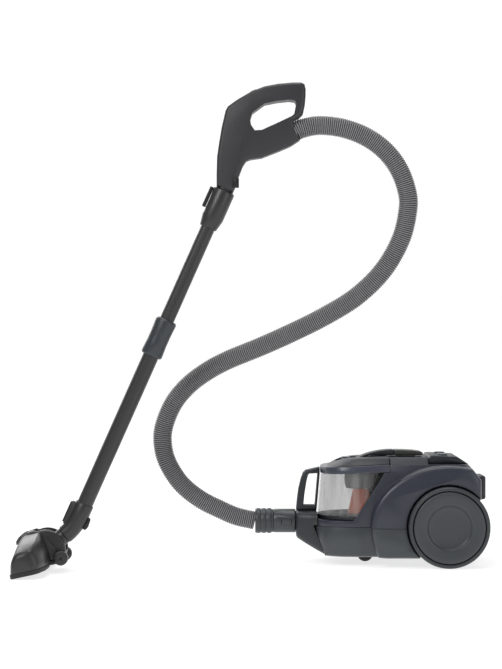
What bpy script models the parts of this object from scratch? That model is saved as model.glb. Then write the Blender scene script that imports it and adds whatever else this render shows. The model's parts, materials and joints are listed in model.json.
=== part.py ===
"""Canister vacuum cleaner: canister, corrugated hose, grip, telescopic wand and floor head.

Metres, +Z up. +X points to the rear of the canister, and the hose leaves towards -X.
The origin is on the floor, under the middle of the object's box.
"""

import math

import bmesh
import bpy
from mathutils import Matrix, Vector

GAP = 0.0003

# Upright planes in which the canister and the wand stand
CANISTER_Y = 0.0775
WAND_Y = -0.0725

# Canister
BODY_HALF = 0.0905
BODY_REAR = 0.451
SPLIT_Z = 0.078
SHELF_Z = 0.0905
SHOULDER_Z = 0.203
WALL = 0.0035
LID_REAR = 0.268
CUP_REAR = LID_REAR - 0.0015
BAY_FRONT = 0.2725

# Rear wheels
WHEEL_X = 0.383
WHEEL_R = 0.081
WHEEL_INNER_Y = 0.094
FENDER_HALF = 0.120
AXLE_R = 0.0055

# Caster under the front
CASTER_X = 0.206
CASTER_TRAIL = 0.017
CASTER_R = 0.016

# Dust bin
CUP_R = 0.084
CUP_X = 0.2155
CUP_LEAN = 0.0856
CUP_BOTTOM = 0.0990
CUP_TOP = 0.1885
BAND_BOTTOM = 0.1888
LID_SLOPE = 0.048

# Hose and the cuff that plugs into the nose
CUFF_Z = 0.083
CUFF_R = 0.0245
SPIGOT_R = 0.0190
HOSE_R = 0.0195
FERRULE_X = -0.0020

# Grip, wand and floor head
GRIP_HALF = 0.020
WAND_TILT = math.radians(24.0)
WAND_TOP = Vector((-0.062, WAND_Y, 0.749))
WAND_DOWN = Vector((-math.sin(WAND_TILT), 0, -math.cos(WAND_TILT)))
WAND_BACK = Vector((-math.cos(WAND_TILT), 0, math.sin(WAND_TILT)))
INNER_TUBE_R = 0.01425
OUTER_TUBE_R = 0.0157
COLLAR_R = 0.0215
COLLAR_S = (0.2800, 0.3575)
ELBOW_S = 0.7020
CROSS_S = 0.7264
ELBOW_R = 0.0180
TILT_X = -0.413
TILT_Z = 0.0421
NECK_PITCH = math.radians(38.0)
NECK_UP = Vector((math.cos(NECK_PITCH), 0, math.sin(NECK_PITCH)))
NECK_R = 0.0165
KNUCKLE_R = 0.0270
KNUCKLE_HALF = 0.0190
NECK_JOINT = 0.046
NOZZLE_FRONT = -0.4665
NOZZLE_HALF = 0.140
SOLE_TOP = 0.0085
NOZZLE_WHEEL = (-0.3765, 0.0105)
NOZZLE_WHEEL_R = 0.0142
# The floor head is drawn flat, with its tilt axis here, and then leans onto its front edge
HEAD_AXIS = (-0.4055, 0.0300)
HEAD_LEAN = math.radians(12.0)

HOSE_ROUTE = [
    (0.0911, -0.0725, 0.8696),
    (0.122, -0.0725, 0.8755),
    (0.167, -0.0725, 0.871),
    (0.212, -0.0725, 0.855),
    (0.251, -0.072, 0.828),
    (0.280, -0.070, 0.791),
    (0.297, -0.066, 0.746),
    (0.299, -0.062, 0.710),
    (0.286, -0.053, 0.653),
    (0.252, -0.040, 0.592),
    (0.201, -0.025, 0.541),
    (0.141, -0.009, 0.503),
    (0.078, 0.007, 0.471),
    (0.012, 0.024, 0.441),
    (-0.056, 0.039, 0.413),
    (-0.099, 0.049, 0.390),
    (-0.139, 0.057, 0.360),
    (-0.170, 0.064, 0.322),
    (-0.189, 0.070, 0.275),
    (-0.191, 0.074, 0.238),
    (-0.181, 0.076, 0.201),
    (-0.154, 0.0775, 0.159),
    (-0.115, 0.0775, 0.127),
    (-0.072, 0.0775, 0.105),
    (-0.040, 0.0775, 0.0915),
    (-0.0150, 0.0775, 0.0830),
]
HOSE_POINTS = 28
SOCKET = Vector((0.0800, WAND_Y, 0.8652))
SOCKET_OUT = Vector((0.929, 0, 0.370)).normalized()
SOCKET_DEPTH = 0.006


# ---------------------------------------------------------------- materials


def material(name, colour, roughness, metallic=0.0, alpha=1.0):
    made = bpy.data.materials.new(name)
    made.use_nodes = True
    shader = made.node_tree.nodes["Principled BSDF"]
    shader.inputs["Base Color"].default_value = (*colour, 1)
    shader.inputs["Roughness"].default_value = roughness
    shader.inputs["Metallic"].default_value = metallic
    shader.inputs["Alpha"].default_value = alpha
    return made


# ---------------------------------------------------------------- meshes


def ellipse(centre, radii, start, end, steps):
    """Points on an ellipse from one angle to another, in degrees, both ends included."""
    angles = [math.radians(start + (end - start) * i / steps) for i in range(steps + 1)]
    return [
        (centre[0] + radii[0] * math.cos(a), centre[1] + radii[1] * math.sin(a)) for a in angles
    ]


def loft(rings):
    """A closed skin over rings of equally many points, with flat ends."""
    bm = bmesh.new()
    loops = []
    for ring in rings:
        verts = [bm.verts.new(point) for point in ring]
        loops.append([bm.edges.new(pair) for pair in zip(verts, verts[1:] + verts[:1])])
    bm.faces.new([edge.verts[0] for edge in loops[0]])
    bm.faces.new([edge.verts[0] for edge in loops[-1]])
    for low, high in zip(loops, loops[1:]):
        bmesh.ops.bridge_loops(bm, edges=low + high)
    bmesh.ops.recalc_face_normals(bm, faces=bm.faces)
    return bm


def prism(outline, low_y, high_y, bevel=0.0, segments=2):
    """An XZ outline pushed along Y, with both end edges rounded if a bevel is given."""
    bm = bmesh.new()
    face = bm.faces.new([bm.verts.new((x, low_y, z)) for x, z in outline])
    pushed = bmesh.ops.extrude_face_region(bm, geom=[face])
    moved = [item for item in pushed["geom"] if isinstance(item, bmesh.types.BMVert)]
    bmesh.ops.translate(bm, verts=moved, vec=(0, high_y - low_y, 0))
    if bevel:
        rims = [e for e in bm.edges if abs(e.verts[0].co.y - e.verts[1].co.y) < 1e-7]
        bmesh.ops.bevel(
            bm, geom=rims, offset=bevel, segments=segments, profile=0.5, affect="EDGES"
        )
    bmesh.ops.recalc_face_normals(bm, faces=bm.faces)
    return bm


def box(low, high, bevel=0.0):
    bm = bmesh.new()
    bmesh.ops.create_cube(bm, size=1)
    size = [b - a for a, b in zip(low, high)]
    bmesh.ops.scale(bm, vec=size, verts=bm.verts)
    bmesh.ops.translate(bm, vec=[(a + b) / 2 for a, b in zip(low, high)], verts=bm.verts)
    if bevel:
        bmesh.ops.bevel(bm, geom=bm.edges, offset=bevel, segments=2, profile=0.5, affect="EDGES")
    return bm


def turned(profile, origin, axis, steps=24, hollow=False):
    """A profile of (radius, distance along the axis), turned about the axis.

    A solid profile starts and ends on the axis. A hollow one closes on itself.
    """
    bm = bmesh.new()
    verts = [bm.verts.new((radius, 0, along)) for radius, along in profile]
    edges = [bm.edges.new(pair) for pair in zip(verts, verts[1:])]
    if hollow:
        edges.append(bm.edges.new((verts[-1], verts[0])))
    bmesh.ops.spin(
        bm, geom=verts + edges, cent=(0, 0, 0), axis=(0, 0, 1), angle=math.tau, steps=steps,
        use_merge=True,
    )
    bmesh.ops.remove_doubles(bm, verts=bm.verts, dist=1e-6)
    bmesh.ops.recalc_face_normals(bm, faces=bm.faces)
    turn = Vector((0, 0, 1)).rotation_difference(Vector(axis)).to_matrix().to_4x4()
    bmesh.ops.transform(bm, matrix=Matrix.Translation(origin) @ turn, verts=bm.verts)
    return bm


def rod(radius, start, end, steps=20):
    """A plain cylinder between two points."""
    start, end = Vector(start), Vector(end)
    bm = bmesh.new()
    bmesh.ops.create_cone(
        bm, cap_ends=True, segments=steps, radius1=radius, radius2=radius,
        depth=(end - start).length,
    )
    turn = Vector((0, 0, 1)).rotation_difference(end - start).to_matrix().to_4x4()
    bmesh.ops.transform(bm, matrix=Matrix.Translation((start + end) / 2) @ turn, verts=bm.verts)
    return bm


def pipe(outer, inner, start, end, steps=20):
    """A tube between two points."""
    start, end = Vector(start), Vector(end)
    length = (end - start).length
    profile = [(inner, 0), (outer, 0), (outer, length), (inner, length)]
    return turned(profile, start, end - start, steps, hollow=True)


def bent_rings(path, radius, sides=20):
    """Rings square to a path in an XZ plane."""
    rings = []
    for i, point in enumerate(path):
        ahead = path[min(i + 1, len(path) - 1)]
        behind = path[max(i - 1, 0)]
        along = (ahead - behind).normalized()
        across = Vector((0, 1, 0))
        up = along.cross(across)
        rings.append(
            [
                point + radius * (math.cos(a) * across + math.sin(a) * up)
                for a in (math.tau * k / sides for k in range(sides))
            ]
        )
    return rings


# ---------------------------------------------------------------- objects


def add(name, bm, look=None, origin=(0, 0, 0)):
    """An object whose mesh is given in the world and whose origin is put where its joint is."""
    origin = Vector(origin)
    bmesh.ops.translate(bm, vec=-origin, verts=bm.verts)
    mesh = bpy.data.meshes.new(name)
    bm.to_mesh(mesh)
    bm.free()
    mesh.shade_smooth()
    mesh.set_sharp_from_angle(angle=math.radians(32))
    made = bpy.data.objects.new(name, mesh)
    made.location = origin
    bpy.context.scene.collection.objects.link(made)
    if look:
        mesh.materials.append(look)
    return made


def carve(target, bm, operation="DIFFERENCE"):
    """Cuts, joins or trims the target with a shape given in the world, and drops the shape."""
    tool = add("cutter", bm)
    step = target.modifiers.new("carve", "BOOLEAN")
    step.operation = operation
    step.solver = "EXACT"
    step.object = tool
    bpy.context.view_layer.update()
    shaped = bpy.data.meshes.new_from_object(
        target.evaluated_get(bpy.context.evaluated_depsgraph_get())
    )
    target.modifiers.remove(step)
    old, name = target.data, target.data.name
    target.data = shaped
    bpy.data.meshes.remove(old)
    shaped.name = name
    spare = tool.data
    bpy.data.objects.remove(tool)
    bpy.data.meshes.remove(spare)
    shaped.set_sharp_from_angle(angle=math.radians(32))
    return target


def carry(name, place, pieces):
    """An empty on a joint's axis that holds the pieces that move about it."""
    pivot = bpy.data.objects.new(name, None)
    pivot.empty_display_size = 0.02
    pivot.location = place
    bpy.context.scene.collection.objects.link(pivot)
    bpy.context.view_layer.update()
    for piece in pieces:
        piece.parent = pivot
        piece.matrix_parent_inverse = pivot.matrix_world.inverted()
    return pivot


def in_canister(x, y, z):
    """A point given from the canister's own middle plane."""
    return Vector((x, y + CANISTER_Y, z))


def on_wand(s, back=0.0, side=0.0):
    """A point s down the wand from its top, back towards the button side."""
    return WAND_TOP + s * WAND_DOWN + back * WAND_BACK + Vector((0, side, 0))


# ---------------------------------------------------------------- canister body


def plan_ring(z, front, rear, half, slope=0.0):
    """The canister's outline seen from above: a blunt front, straight sides, round rear corners."""
    power = 2.7
    nose = 0.212
    corner = 0.045
    side = []
    for i in range(10):
        angle = math.radians(3 + 87 * i / 9)
        x = nose - (nose - front) * math.cos(angle) ** (2 / power)
        side.append((x, half * math.sin(angle) ** (2 / power)))
    for i in range(6):
        angle = math.radians(90 - 86 * i / 5)
        x = rear - corner + corner * math.cos(angle) ** (2 / power)
        y = half - corner + corner * math.sin(angle) ** (2 / power)
        side.append((x, y))
    outline = side + [(x, -y) for x, y in reversed(side)]
    return [in_canister(x, y, z - slope * (LID_REAR - x)) for x, y in outline]


def body_solid(name, look):
    """The whole outer body with both fender bulges, before it is split into shells."""
    levels = [
        (0.0170, 0.128, 0.436, 0.074),
        (0.0200, 0.121, 0.444, 0.082),
        (0.0290, 0.1175, 0.449, 0.088),
        (0.0450, 0.1165, BODY_REAR, BODY_HALF),
        (0.1600, 0.1165, BODY_REAR, BODY_HALF),
        (0.1780, 0.1165, 0.449, 0.0897),
        (0.1900, 0.1165, 0.440, 0.0885),
        (SHOULDER_Z, 0.1165, 0.428, 0.0850),
    ]
    body = add(name, loft([plan_ring(z, front, rear, half) for z, front, rear, half in levels]), look)
    wheel_z = WHEEL_R
    outline = ellipse((WHEEL_X, wheel_z), (0.155, 0.121), 72, 180, 11)
    outline += ellipse((WHEEL_X, wheel_z), (0.155, 0.140), 180, 206, 3)[1:]
    outline += [(0.2600, 0.0183), (0.4350, 0.0183), (0.4483, 0.0310), (0.4483, 0.1750)]
    bulge = prism(outline, CANISTER_Y - FENDER_HALF, CANISTER_Y + FENDER_HALF, 0.010, 2)
    carve(body, bulge, "UNION")
    for side in (-1, 1):
        carve(
            body,
            rod(
                WHEEL_R + 0.0035,
                in_canister(WHEEL_X, side * (WHEEL_INNER_Y - 0.0005), wheel_z),
                in_canister(WHEEL_X, side * (FENDER_HALF + 0.01), wheel_z),
                32,
            ),
        )
        carve(
            body,
            rod(
                AXLE_R + GAP,
                in_canister(WHEEL_X, side * 0.080, wheel_z),
                in_canister(WHEEL_X, side * 0.100, wheel_z),
                16,
            ),
        )
    return body


def without(solid, cutter):
    """The solid less the cutter, ready to cut with."""
    spare = add("spare", solid)
    carve(spare, cutter)
    rest = bmesh.new()
    rest.from_mesh(spare.data)
    bpy.data.objects.remove(spare)
    return rest


def make_lower_shell(look):
    shell = body_solid("lower_shell", look)
    carve(shell, box(in_canister(0, -0.2, SPLIT_Z - GAP / 2), in_canister(0.6, 0.2, 0.3)))
    front = [(0.05, 0.100), (0.1165, SPLIT_Z), (0.1385, 0.0225), (0.1385, 0.005), (0.05, 0.005)]
    carve(shell, prism(front, CANISTER_Y - 0.2, CANISTER_Y + 0.2))
    inner_rear = BODY_REAR - WALL - 0.001
    levels = [(0.0215, 0.4400, 0.0780), (0.0300, 0.4440, 0.0835)]
    levels += [(0.0450, inner_rear, BODY_HALF - WALL), (0.1000, inner_rear, BODY_HALF - WALL)]
    hollow = loft([plan_ring(z, 0.1165 + WALL + 0.020, rear, half) for z, rear, half in levels])
    well = rod(0.0435, in_canister(CASTER_X, 0, 0), in_canister(CASTER_X, 0, 0.0385), 32)
    carve(shell, without(hollow, well))
    carve(shell, rod(0.0400, in_canister(CASTER_X, 0, 0), in_canister(CASTER_X, 0, 0.0350), 32))
    carve(shell, rod(0.0043, in_canister(CASTER_X, 0, 0.030), in_canister(CASTER_X, 0, 0.045), 16))
    return shell


def cup_ring(z, radius, slope=0.0, steps=36):
    """A round of the leaning cup, lower towards the front if it has a slope."""
    centre = CUP_X - CUP_LEAN * (CUP_TOP - z)
    ring = []
    for x, y in ellipse((centre, 0), (radius, radius), 0, 360 * (steps - 1) / steps, steps - 1):
        ring.append(in_canister(x, y, z - slope * (LID_REAR - x)))
    return ring


def make_upper_shell(look):
    shell = body_solid("upper_shell", look)
    carve(shell, box(in_canister(0, -0.2, 0), in_canister(0.6, 0.2, SPLIT_Z + GAP / 2)))
    carve(shell, box(in_canister(0, -0.2, 0), in_canister(0.1242, 0.2, 0.3)))
    # Everything in front of the slanted window edge, down to the shelf under the bin
    window = [(0.05, SHELF_Z), (0.195, SHELF_Z), (0.252, 0.178), (0.2575, BAND_BOTTOM - GAP)]
    window += [(0.05, BAND_BOTTOM - GAP)]
    carve(shell, prism(window, CANISTER_Y - 0.2, CANISTER_Y + 0.2))
    low = BAND_BOTTOM - 2 * GAP
    lid_space = [(0.05, low - LID_SLOPE * (LID_REAR - 0.05)), (LID_REAR + GAP, low)]
    lid_space += [(LID_REAR + GAP, 0.3), (0.05, 0.3)]
    carve(shell, prism(lid_space, CANISTER_Y - 0.2, CANISTER_Y + 0.2))
    # The pocket that the cup stands in, open upwards and forwards
    pocket = CUP_R + 0.0013
    rings = []
    for z in (SHELF_Z, 0.30):
        centre = CUP_X - CUP_LEAN * (CUP_TOP - z)
        outline = ellipse((centre, 0), (pocket, pocket), -90, 90, 18)
        outline += [(0.05, pocket), (0.05, -pocket)]
        rings.append([in_canister(x, y, z) for x, y in outline])
    behind = box(in_canister(CUP_REAR + 0.0013, -0.2, 0), in_canister(0.6, 0.2, 0.4))
    carve(shell, without(loft(rings), behind))
    # The motor bay behind the pocket, open downwards into the lower shell
    bay = [
        plan_ring(z, 0.1165, rear, half)
        for z, rear, half in (
            (0.05, BODY_REAR - WALL, BODY_HALF - WALL),
            (0.170, BODY_REAR - WALL, BODY_HALF - WALL),
            (0.1995, 0.4240, 0.0800),
        )
    ]
    ahead = box(in_canister(0, -0.2, 0), in_canister(BAY_FRONT, 0.2, 0.3))
    carve(shell, without(loft(bay), ahead))
    # Seat and air way of the exhaust cover, and the hole of the cord outlet
    carve(shell, box(in_canister(0.4484, -0.0503, 0.0847), in_canister(0.47, 0.0503, 0.1253)))
    carve(shell, box(in_canister(0.440, -0.044, 0.090), in_canister(0.47, 0.044, 0.121)))
    carve(shell, rod(0.0063, in_canister(0.44, 0.053, 0.150), in_canister(0.46, 0.053, 0.150)))
    return shell


def make_nose(look):
    sections = [
        (0.0815, 0.0535, 0.1020, 0.0330),
        (0.0840, 0.0500, 0.1044, 0.0370),
        (0.1000, 0.0400, 0.1044, 0.0430),
        (0.1200, 0.0285, 0.1044, 0.0490),
        (0.1420, 0.0180, 0.1044, 0.0660),
    ]
    rings = []
    for x, low, high, half in sections:
        corner = min(0.014, (high - low) / 3)
        ring = []
        for sy, sz, start in ((1, 1, 0), (-1, 1, 90), (-1, -1, 180), (1, -1, 270)):
            centre = (sy * (half - corner), (high if sz > 0 else low) - sz * corner)
            for y, z in ellipse(centre, (corner, corner), start, start + 90, 4):
                ring.append(in_canister(x, y, z))
        rings.append(ring)
    nose = add("nose_housing", loft(rings), look)
    behind = [(0.1237, 0.2), (0.1237, SPLIT_Z + GAP), (0.1160, SPLIT_Z + GAP), (0.1160, SPLIT_Z)]
    behind += [(0.1380, 0.0225), (0.1380, 0.0), (0.2, 0.0), (0.2, 0.2)]
    carve(nose, prism(behind, CANISTER_Y - 0.2, CANISTER_Y + 0.2))
    carve(nose, rod(SPIGOT_R + GAP, in_canister(0.07, 0, CUFF_Z), in_canister(0.13, 0, CUFF_Z), 28))
    return nose


def make_rear_pieces(dark, mid, vent):
    bumper = box(in_canister(BODY_REAR + GAP, -0.034, 0.129), in_canister(0.4665, 0.034, 0.177))
    block = add("rear_bumper", bumper, dark)
    bevel = block.modifiers.new("round", "BEVEL")
    bevel.width = 0.004
    bevel.segments = 2
    bevel.limit_method = "ANGLE"
    profile = [(0.0045, 0), (0.0060, 0), (0.0060, 0.0065), (0.0095, 0.0065), (0.0095, 0.0100)]
    profile += [(0.0085, 0.0110), (0.0055, 0.0110), (0.0045, 0.0100)]
    start = in_canister(BODY_REAR + GAP - 0.0065, 0.053, 0.150)
    add("cord_outlet", turned(profile, start, (1, 0, 0), 24, hollow=True), dark)

    hinge = in_canister(0.4512, 0, 0.0850)
    cover = add(
        "exhaust_cover",
        box(in_canister(0.4487, -0.050, 0.0850), in_canister(0.4512, 0.050, 0.1250)),
        mid,
        hinge,
    )
    for i in range(6):
        low = 0.0925 + 0.0052 * i
        slot = box(in_canister(0.44, -0.040, low), in_canister(0.46, 0.040, low + 0.0028))
        carve(cover, slot)
    carry("exhaust_cover_pivot", hinge, [cover])
    pleats = box(in_canister(0.4345, -0.042, 0.0915), in_canister(0.4470, 0.042, 0.1195))
    add("exhaust_filter", pleats, vent)


def make_deck(dark, mid):
    """The control deck and the dark panel between it and the bin's lid."""
    outline = [(0.3470, SHOULDER_Z + GAP), (0.3470, 0.2150), (0.3510, 0.2195), (0.3600, 0.2200)]
    outline += [(0.4060, 0.2175), (0.4200, 0.2085), (0.4275, SHOULDER_Z + GAP)]
    deck = add("control_deck", prism(outline, CANISTER_Y - 0.062, CANISTER_Y + 0.062, 0.003), dark)
    rings = [
        [in_canister(x, y, z) for x, y in ((low, -half), (low, half), (0.3465, half), (0.3465, -half))]
        for z, low, half in ((SHOULDER_Z + GAP, 0.2690, 0.078), (0.2155, 0.2690, 0.056))
    ]
    panel = add("rear_top_panel", loft(rings), dark)
    carve(panel, box(in_canister(0.288, -0.026, 0.2075), in_canister(0.328, 0.026, 0.230)))
    for name, side in (("power_button", -1), ("rewind_button", 1)):
        centre = in_canister(0.378, side * 0.030, 0.2120)
        carve(deck, rod(0.0113, centre, centre + Vector((0, 0, 0.020)), 28))
        crown = [(0, 0.0035), (0.0110, 0.0035), (0.0110, 0.0092), (0.0098, 0.0104), (0, 0.0108)]
        button = add(name, turned(crown, centre, (0, 0, 1), 28), mid, centre)
        carry(name + "_slide", centre, [button])


# ---------------------------------------------------------------- canister running gear


def make_rear_wheels(rim, disc, steel):
    tread = [(0.0728, 0.0), (0.0785, 0.0), (WHEEL_R, 0.003), (WHEEL_R, 0.034), (0.0785, 0.0385)]
    tread += [(0.0728, 0.0385)]
    face = [(0, 0.0230), (0.0060, 0.0230), (0.0060, 0.0), (0.0140, 0.0), (0.0160, 0.020)]
    face += [(0.0700, 0.020), (0.0724, 0.0225)]
    face += [(0.0724, 0.0380), (0.0690, 0.0410), (0.0470, 0.0385), (0.0420, 0.0365)]
    face += [(0, 0.0325)]
    for name, side in (("left", -1), ("right", 1)):
        centre = in_canister(WHEEL_X, side * WHEEL_INNER_Y, WHEEL_R)
        axis = (0, side, 0)
        ring = add(f"wheel_tread_{name}", turned(tread, centre, axis, 32, hollow=True), rim, centre)
        dish = add(f"wheel_disc_{name}", turned(face, centre, axis, 32), disc, centre)
        carry(f"wheel_{name}_spin", centre, [ring, dish])
        axle = [(0, -0.0125), (0.0075, -0.0125), (0.0075, -0.0100), (AXLE_R, -0.0100)]
        axle += [(AXLE_R, 0.0220), (0, 0.0220)]
        add(f"wheel_axle_{name}", turned(axle, centre, axis, 16), steel)


def make_caster(dark, tyre, steel):
    swivel = in_canister(CASTER_X, 0, 0.0340)
    hub = in_canister(CASTER_X + CASTER_TRAIL, 0, CASTER_R)
    plate = [(0, -0.0014), (0.0210, -0.0014), (0.0210, 0.0006), (0.0040, 0.0006), (0.0040, 0.0090)]
    plate += [(0, 0.0090)]
    fork = add("caster_fork", turned(plate, swivel, (0, 0, 1), 24), dark, swivel)
    cheek = [(CASTER_X + 0.004, 0.0335), (CASTER_X + 0.018, 0.0335), (CASTER_X + 0.0215, 0.0190)]
    cheek += [(CASTER_X + 0.0200, 0.0120), (CASTER_X + 0.0140, 0.0120), (CASTER_X + 0.0110, 0.0180)]
    for side in (-1, 1):
        low, high = sorted((side * 0.0092, side * 0.0118))
        carve(fork, prism(cheek, CANISTER_Y + low, CANISTER_Y + high), "UNION")
    carve(fork, rod(0.0021, hub - Vector((0, 0.02, 0)), hub + Vector((0, 0.02, 0)), 16))
    pin = rod(0.0018, hub - Vector((0, 0.0125, 0)), hub + Vector((0, 0.0125, 0)), 16)
    axle = add("caster_axle", pin, steel, hub)
    carry("caster_swivel", swivel, [fork, axle])
    roller = [(0.0022, -0.0085), (0.0130, -0.0085), (CASTER_R, -0.0060), (CASTER_R, 0.0060)]
    roller += [(0.0130, 0.0085), (0.0022, 0.0085)]
    wheel = add("caster_wheel", turned(roller, hub, (0, 1, 0), 28, hollow=True), tyre, hub)
    carry("caster_roll", hub, [wheel])


def make_motor_bay(grey, metal, foam):
    centre = in_canister(0.371, -0.043, 0.106)
    can = [(0.0485, -0.035), (0.0500, -0.0335), (0.0500, 0.0350), (0.0470, 0.0350)]
    can += [(0.0470, -0.0300), (0.0040, -0.0300), (0.0040, -0.0350)]
    add("motor_housing", turned(can, centre, (0, 1, 0), 28, hollow=True), grey)
    fan = [(0, -0.0340), (0.0035, -0.0340), (0.0035, -0.0150), (0.0430, -0.0150), (0.0450, 0.0050)]
    fan += [(0.0120, 0.0150), (0, 0.0150)]
    rotor = add("motor_fan", turned(fan, centre, (0, 1, 0), 24), metal, centre)
    carry("fan_spin", centre, [rotor])
    reel_at = in_canister(0.375, 0.044, 0.102)
    reel = [(0, -0.0300), (0.0560, -0.0300), (0.0560, -0.0270), (0.0260, -0.0270)]
    reel += [(0.0260, 0.0270), (0.0560, 0.0270), (0.0560, 0.0300), (0, 0.0300)]
    drum = add("cord_reel", turned(reel, reel_at, (0, 1, 0), 28), grey, reel_at)
    carry("reel_spin", reel_at, [drum])
    low = in_canister(BAY_FRONT + 0.0006, -0.045, 0.112)
    add("motor_filter", box(low, in_canister(BAY_FRONT + 0.0095, 0.045, 0.168)), foam)


# ---------------------------------------------------------------- dust bin and handles


def make_dust_bin(clear, dark, mid, terracotta, grey):
    cup = loft([cup_ring(CUP_BOTTOM, CUP_R), cup_ring(CUP_TOP, CUP_R, LID_SLOPE)])
    wall = add("bin_cup", cup, clear)
    # The cup's rear is flat, so that it lifts out past the rear top panel
    behind = box(in_canister(CUP_REAR, -0.2, 0), in_canister(0.6, 0.2, 0.3))
    carve(wall, behind.copy())
    space = loft([cup_ring(z, CUP_R - 0.0025) for z in (CUP_BOTTOM - 0.01, CUP_TOP + 0.01)])
    back = box(in_canister(CUP_REAR - 0.0025, -0.2, 0), in_canister(0.6, 0.2, 0.3))
    carve(wall, without(space, back))
    pieces = [wall]
    flap = loft([cup_ring(z, CUP_R) for z in (SHELF_Z + GAP + 0.0002, CUP_BOTTOM - GAP)])
    base = add("bin_base", flap, dark)
    carve(base, behind)
    pieces.append(base)

    front = 0.1312
    rim = [(BAND_BOTTOM, 0.0886), (0.1960, 0.0870), (SHOULDER_Z, 0.0848)]
    band = add(
        "bin_lid_band",
        loft([plan_ring(z, front, 0.45, half, LID_SLOPE) for z, half in rim]),
        mid,
    )
    carve(band, box(in_canister(LID_REAR, -0.2, 0), in_canister(0.6, 0.2, 0.3)))
    carve(band, rod(0.0780, in_canister(CUP_X, 0, 0.16), in_canister(CUP_X, 0, 0.1920), 28))
    pieces.append(band)

    levels = [(SHOULDER_Z + GAP, 0.1450, 0.0800), (0.2110, 0.1600, 0.0710)]
    levels += [(0.2160, 0.1740, 0.0600), (0.2172, 0.1900, 0.0520)]
    cap = add(
        "bin_lid_top",
        loft([plan_ring(z, low, 0.45, half, LID_SLOPE) for z, low, half in levels]),
        dark,
    )
    carve(cap, box(in_canister(LID_REAR, -0.2, 0), in_canister(0.6, 0.2, 0.3)))
    pieces.append(cap)

    arch = ellipse((0.2805, 0.1700), (0.1080, 0.0593), 141, 90, 9)
    arch += [(0.2805, 0.2180), (0.2300, 0.2180), (0.2220, 0.2120), (0.2000, 0.2060)]
    # The arch stands on the lid's own top, so the lid gives way under its foot
    foot = [(0.15, 0.2053), (0.2003, 0.2053), (0.2223, 0.2113), (0.2303, 0.2174)]
    foot += [(0.2450, 0.24), (0.15, 0.24)]
    carve(cap, prism(foot, CANISTER_Y - 0.0205, CANISTER_Y + 0.0205))
    hump = add("lid_arch", prism(arch, CANISTER_Y - 0.0200, CANISTER_Y + 0.0200), dark)
    pieces.append(hump)

    seat = in_canister(0.1860, 0, 0.2064)
    key = add(
        "bin_release_button",
        box(seat + Vector((-0.0100, -0.0140, 0.0018)), seat + Vector((0.0060, 0.0140, 0.0080)), 0.0012),
        mid,
        seat,
    )
    carve(cap, box(seat + Vector((-0.0110, -0.0150, -0.0010)), seat + Vector((0.0070, 0.0150, 0.02))))
    carry("bin_release_slide", seat, [key])

    loop = [(0.0815, 0.1055), (0.0835, 0.1280), (0.0865, 0.1500), (0.0915, 0.1700)]
    loop += [(0.0960, 0.1825), (0.1010, 0.1870), (0.1300, 0.1935)]
    loop += [(0.1300, 0.1865), (0.1302, 0.1810), (0.1235, 0.1055)]
    handle = add("bin_handle", prism(loop, CANISTER_Y - 0.015, CANISTER_Y + 0.015, 0.0035), dark)
    gap = [(0.0965, 0.1160), (0.0990, 0.1400), (0.1030, 0.1650), (0.1065, 0.1785)]
    gap += [(0.1090, 0.1800), (0.1255, 0.1810), (0.1198, 0.1160)]
    carve(handle, prism(gap, CANISTER_Y - 0.03, CANISTER_Y + 0.03))
    pieces.append(handle)

    cone = [(0, 0), (0.0256, 0), (0.0155, 0.0510), (0, 0.0510)]
    at = in_canister(0.2140, 0, CUP_BOTTOM)
    pieces.append(add("cyclone_cone", turned(cone, at, (0, 0, 1), 28), terracotta))
    cage = [(0, 0), (0.0300, 0), (0.0330, 0.0120), (0.0330, 0.0400), (0, 0.0400)]
    at = in_canister(0.2140, 0, CUP_BOTTOM + 0.0513)
    pieces.append(add("cyclone_cage", turned(cage, at, (0, 0, 1), 28), grey))
    carry("dust_bin_slide", in_canister(CUP_X, 0, CUP_BOTTOM), pieces)


def make_carry_handle(look):
    pivot = in_canister(0.3360, 0, 0.2215)
    outline = [(0.2813, 0.2180), (0.2813, 0.2292), (0.3000, 0.2290), (0.3180, 0.2281)]
    outline += [(0.3340, 0.2262), (0.3400, 0.2235), (0.3400, 0.2180)]
    bar = add("carry_handle", prism(outline, CANISTER_Y - 0.020, CANISTER_Y + 0.020, 0.0025), look, pivot)
    carve(bar, box(in_canister(0.288, -0.0130, 0.200), in_canister(0.322, 0.0130, 0.2225)))
    carry("carry_handle_pivot", pivot, [bar])


# ---------------------------------------------------------------- hose


def smooth_route(points, count):
    """Evenly spaced points on a Catmull-Rom curve through the route."""
    knots = [Vector(p) for p in points]
    knots = [2 * knots[0] - knots[1]] + knots + [2 * knots[-1] - knots[-2]]
    fine = []
    for a, b, c, d in zip(knots, knots[1:], knots[2:], knots[3:]):
        for i in range(20):
            t = i / 20
            fine.append(
                0.5
                * (
                    2 * b
                    + (c - a) * t
                    + (2 * a - 5 * b + 4 * c - d) * t**2
                    + (3 * b - a - 3 * c + d) * t**3
                )
            )
    fine.append(knots[-2])
    reach = [0.0]
    for a, b in zip(fine, fine[1:]):
        reach.append(reach[-1] + (b - a).length)
    even = []
    for i in range(count):
        want = reach[-1] * i / (count - 1)
        j = max(k for k in range(len(reach) - 1) if reach[k] <= want + 1e-9)
        span = reach[j + 1] - reach[j]
        even.append(fine[j].lerp(fine[j + 1], min(1.0, (want - reach[j]) / span)))
    return even


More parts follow.
